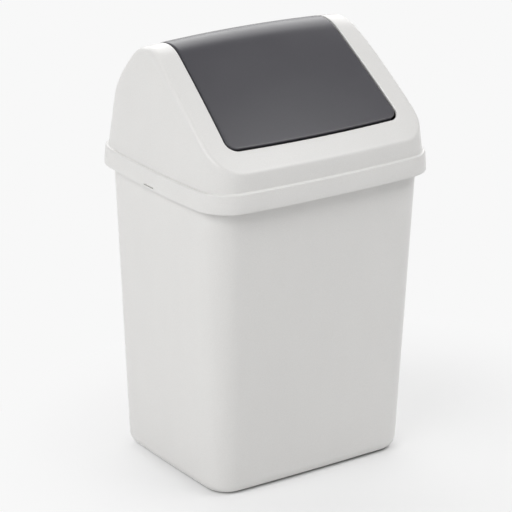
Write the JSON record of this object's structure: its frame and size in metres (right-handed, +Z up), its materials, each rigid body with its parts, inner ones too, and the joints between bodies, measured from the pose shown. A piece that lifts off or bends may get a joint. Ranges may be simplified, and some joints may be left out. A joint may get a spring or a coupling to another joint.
{
  "type": "countertop trash can with swing lid",
  "caption": "Small tapered trash can with rounded corners, a lift-off hood over its rim and a dark flap over the hood's slope and crown that swings on two pins.",
  "frame": {"origin": "middle of the footprint, on the surface the can stands on", "axes": "+Z up, the flap and the slope face -Y, +X to the right seen from the front"},
  "size_m": [0.2, 0.1686, 0.3178],
  "materials": {
    "pale_plastic": "moulded polypropylene, satin",
    "grey_plastic": "moulded polypropylene, semi-gloss dark grey",
    "pin_plastic": "moulded acetal"
  },
  "bodies": {
    "bucket": {"body": "pale_plastic"},
    "cover": {"hood": "pale_plastic"},
    "swing_lid": {"flap": "grey_plastic", "left_pivot_pin": "pin_plastic", "right_pivot_pin": "pin_plastic"}
  },
  "joints": [
    {"name": "hood_lift", "type": "slide", "parent": "bucket", "child": "cover", "axis": [0, 0, 1], "range_m": [0, 0.12]},
    {"name": "flap_swing", "type": "hinge", "parent": "cover", "child": "swing_lid", "pos_m": [0, 0.0068, 0.2997], "axis": [1, 0, 0], "range_deg": [-60, 80]}
  ]
}
